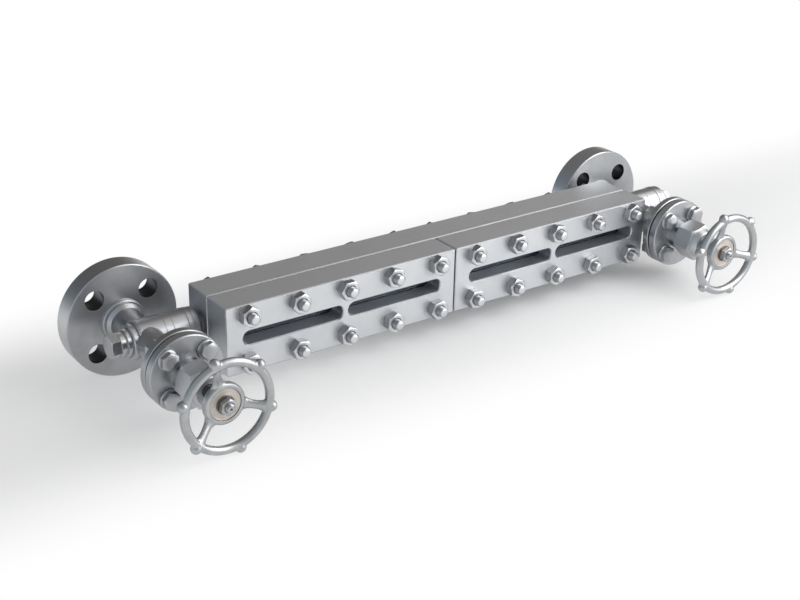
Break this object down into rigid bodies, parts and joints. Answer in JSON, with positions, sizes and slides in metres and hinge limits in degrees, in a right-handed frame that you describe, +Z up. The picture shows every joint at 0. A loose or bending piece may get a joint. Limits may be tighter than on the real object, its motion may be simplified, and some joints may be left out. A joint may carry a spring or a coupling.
{
  "type": "liquid level gauge",
  "caption": "Armoured reflex liquid level gauge: steel chamber with slotted covers over glass, and flanged handwheel valves at both ends.",
  "frame": {"origin": "centre of the left connection's raised face, where the gauge bolts to the vessel", "axes": "+X along the gauge from the left connection to the right one, +Y out of the connection faces, away from the sight slots and handwheels, +Z up as it lies"},
  "size_m": [0.8365, 0.269, 0.13],
  "materials": {
    "block_steel": "stainless steel, milled and blasted to a fine satin",
    "forged_steel": "stainless steel, turned",
    "flange_steel": "stainless steel, turned, with fine circular tool marks",
    "hard_steel": "hard stainless steel, ground",
    "fastener_steel": "stainless steel, bright, cold formed",
    "wheel_casting": "cast stainless steel, tumbled bright",
    "wheel_plate": "thin bare disc, matt beige",
    "sight_glass": "clear pressed glass that looks dark, with prisms on its wet side",
    "graphite": "pressed graphite, matt"
  },
  "bodies": {
    "gauge": {"liquid_chamber": "block_steel", "cover_left": "block_steel", "cover_right": "block_steel", "body_studs": "fastener_steel", "front_nuts": "fastener_steel", "rear_nuts": "fastener_steel", "glass_left": "sight_glass", "glass_right": "sight_glass", "glass_gasket_left": "graphite", "glass_gasket_right": "graphite", "glass_cushion_left": "graphite", "glass_cushion_right": "graphite", "left_union_tail": "forged_steel", "left_port_plug": "fastener_steel", "right_end_nipple": "forged_steel", "right_union_plug": "fastener_steel", "left_valve_body": "forged_steel", "left_process_flange": "flange_steel", "left_seat_ring": "hard_steel", "left_bonnet": "flange_steel", "left_bonnet_gasket": "graphite", "left_bonnet_bolts": "fastener_steel", "left_bonnet_nuts": "fastener_steel", "left_packing": "graphite", "left_packing_follower": "hard_steel", "left_packing_nut": "fastener_steel", "left_union_nut": "forged_steel", "right_valve_body": "forged_steel", "right_process_flange": "flange_steel", "right_seat_ring": "hard_steel", "right_bonnet": "flange_steel", "right_bonnet_gasket": "graphite", "right_bonnet_bolts": "fastener_steel", "right_bonnet_nuts": "fastener_steel", "right_packing": "graphite", "right_packing_follower": "hard_steel", "right_packing_nut": "fastener_steel", "right_union_nut": "forged_steel"},
    "left_needle": {"left_needle": "hard_steel"},
    "left_wheel": {"left_stem": "hard_steel", "left_handwheel": "wheel_casting", "left_wheel_plate": "wheel_plate", "left_wheel_washer": "fastener_steel", "left_wheel_nut": "fastener_steel"},
    "right_needle": {"right_needle": "hard_steel"},
    "right_wheel": {"right_stem": "hard_steel", "right_handwheel": "wheel_casting", "right_wheel_plate": "wheel_plate", "right_wheel_washer": "fastener_steel", "right_wheel_nut": "fastener_steel"}
  },
  "joints": [
    {"name": "left_needle_lift", "type": "slide", "parent": "gauge", "child": "left_needle", "axis": [0, -1, 0], "range_m": [-0.0015, 0.006]},
    {"name": "left_wheel_turn", "type": "hinge", "parent": "left_needle", "child": "left_wheel", "pos_m": [0, -0.2613, 0], "axis": [0, -1, 0], "range_deg": [-180, 720]},
    {"name": "right_needle_lift", "type": "slide", "parent": "gauge", "child": "right_needle", "axis": [0, -1, 0], "range_m": [-0.0015, 0.006]},
    {"name": "right_wheel_turn", "type": "hinge", "parent": "right_needle", "child": "right_wheel", "pos_m": [0.697, -0.2613, 0], "axis": [0, -1, 0], "range_deg": [-180, 720]}
  ],
  "couplings": [
    {"joint": "left_needle_lift", "follows": "left_wheel_turn", "m_per_rad": 0.00047746},
    {"joint": "right_needle_lift", "follows": "right_wheel_turn", "m_per_rad": 0.00047746}
  ]
}
